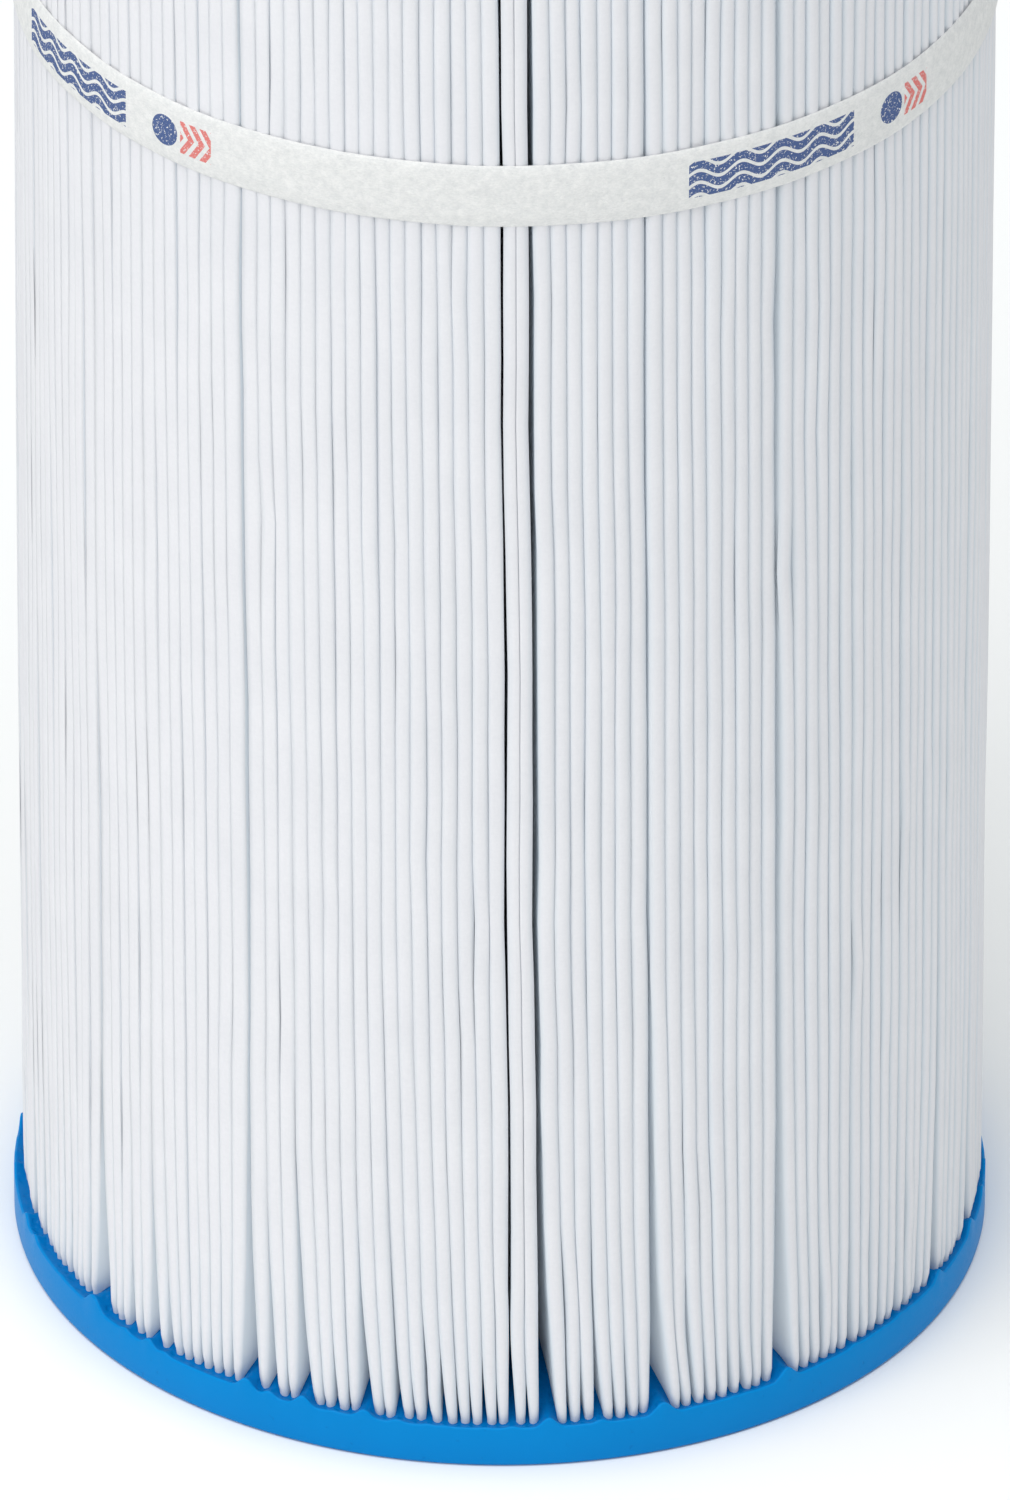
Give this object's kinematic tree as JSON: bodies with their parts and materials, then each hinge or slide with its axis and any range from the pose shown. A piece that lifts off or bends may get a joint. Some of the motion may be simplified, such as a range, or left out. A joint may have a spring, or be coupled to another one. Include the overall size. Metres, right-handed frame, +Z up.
{
  "type": "pool filter cartridge",
  "caption": "Tall open-ended pleated filter cartridge: deep fabric pleats round a lattice core, cast between soft ring end caps and held by a strap round the pleat tips.",
  "frame": {"origin": "centre of the bottom end cap's flat sealing face, on the cartridge's axis", "axes": "+Z up along the cartridge's axis towards the top end cap; -Y is the side the strap's lap faces away from"},
  "size_m": [0.1778, 0.1778, 0.4985],
  "materials": {
    "cast_urethane": "bright blue cast urethane, smooth with a soft sheen",
    "filter_fabric": "white spunbonded polyester, faintly fibrous",
    "strap_ribbon": null,
    "core_plastic": "white moulded plastic, satin",
    "hot_melt": "cloudy hot-melt adhesive"
  },
  "bodies": {
    "root": {"bottom_end_cap": "cast_urethane", "top_end_cap": "cast_urethane", "pleated_media": "filter_fabric", "side_seam_bead": "hot_melt", "core_section_lower": "core_plastic", "core_section_middle": "core_plastic", "core_section_upper": "core_plastic", "pleat_strap": "strap_ribbon", "strap_bond": "hot_melt"}
  },
  "joints": []
}
